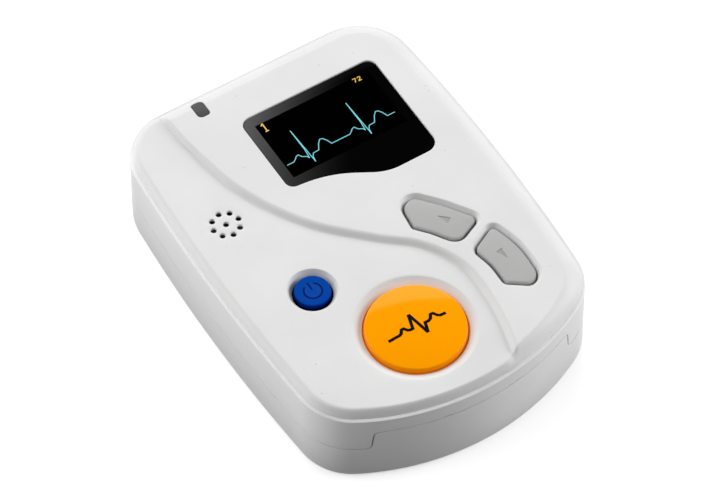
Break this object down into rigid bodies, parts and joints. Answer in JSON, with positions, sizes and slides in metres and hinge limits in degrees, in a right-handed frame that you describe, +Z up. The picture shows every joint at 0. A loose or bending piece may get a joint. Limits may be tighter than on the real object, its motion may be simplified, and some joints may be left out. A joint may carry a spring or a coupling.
{
  "type": "holter monitor",
  "caption": "Pocket heart-rhythm recorder: two-part white case, sunken display, domed event button, power button, arrow keys, battery door, memory card and lead socket.",
  "frame": {"origin": "middle of the underside, on the surface that the recorder lies on", "axes": "+X to the reader's right, +Y to the display end, +Z up out of the deck"},
  "size_m": [0.078, 0.1064, 0.0257],
  "materials": {
    "white_shell": "fine satin texture",
    "screw_steel": "zinc plated",
    "orange_gloss": "high gloss",
    "blue_button": "satin",
    "grey_key": "matte",
    "black_nylon": "moulded",
    "cream_nylon": "moulded",
    "display_window": "polished, printed black behind",
    "black_foam": "closed cell",
    "panel_glass": "lit panel glass",
    "amber_film": "film",
    "smoky_window": "smoky",
    "clear_lamp": "clear",
    "board_green": "solder mask",
    "tinned_steel": "tinned",
    "socket_black": "moulded",
    "gold_pins": "gold plated",
    "cell_sleeve": "printed sleeve, plain",
    "nickel_contact": "nickel plated",
    "card_black": "moulded"
  },
  "bodies": {
    "case": {"front_cover": "white_shell", "rear_cover": "white_shell", "case_screw_1": "screw_steel", "case_screw_2": "screw_steel", "case_screw_3": "screw_steel", "case_screw_4": "screw_steel", "event_switch": "black_nylon", "power_switch": "black_nylon", "up_switch": "black_nylon", "down_switch": "black_nylon", "display_lens": "display_window", "lens_gasket": "black_foam", "display_panel": "panel_glass", "display_bracket": "black_nylon", "display_flex": "amber_film", "indicator_light_pipe": "smoky_window", "indicator_led": "clear_lamp", "main_board": "board_green", "processor_chip": "black_nylon", "memory_chip": "black_nylon", "clock_crystal": "tinned_steel", "input_shield": "tinned_steel", "clock_cell": "tinned_steel", "sounder": "black_nylon", "lead_socket": "socket_black", "lead_socket_pins": "gold_pins", "battery_cell_1": "cell_sleeve", "battery_cell_2": "cell_sleeve", "bridge_contact": "nickel_contact", "minus_contact": "nickel_contact", "plus_contact": "nickel_contact", "battery_spring_1": "nickel_contact", "battery_spring_2": "nickel_contact", "card_socket": "tinned_steel"},
    "event_button": {"event_button": "orange_gloss", "event_switch_plunger": "cream_nylon"},
    "power_button": {"power_button": "blue_button", "power_switch_plunger": "cream_nylon"},
    "up_key": {"up_key": "grey_key", "up_switch_plunger": "cream_nylon"},
    "down_key": {"down_key": "grey_key", "down_switch_plunger": "cream_nylon"},
    "battery_door": {"battery_door": "white_shell"},
    "memory_card": {"memory_card": "card_black"}
  },
  "joints": [
    {"name": "event_button_press", "type": "slide", "parent": "case", "child": "event_button", "axis": [0, 0, -1], "range_m": [0, 0.0005], "stiffness_N_per_m": 1500, "springref_m": -0.0003},
    {"name": "power_button_press", "type": "slide", "parent": "case", "child": "power_button", "axis": [0, 0, -1], "range_m": [0, 0.0005], "stiffness_N_per_m": 1500, "springref_m": -0.0003},
    {"name": "up_key_press", "type": "slide", "parent": "case", "child": "up_key", "axis": [0, 0, -1], "range_m": [0, 0.0005], "stiffness_N_per_m": 1500, "springref_m": -0.0003},
    {"name": "down_key_press", "type": "slide", "parent": "case", "child": "down_key", "axis": [0, 0, -1], "range_m": [0, 0.0005], "stiffness_N_per_m": 1500, "springref_m": -0.0003},
    {"name": "battery_door_hinge", "type": "hinge", "parent": "case", "child": "battery_door", "pos_m": [0, 0.03105, 0], "axis": [1, 0, 0], "range_deg": [0, 90]},
    {"name": "memory_card_slide", "type": "slide", "parent": "case", "child": "memory_card", "axis": [-1, 0, 0], "range_m": [0, 0.0275]}
  ]
}
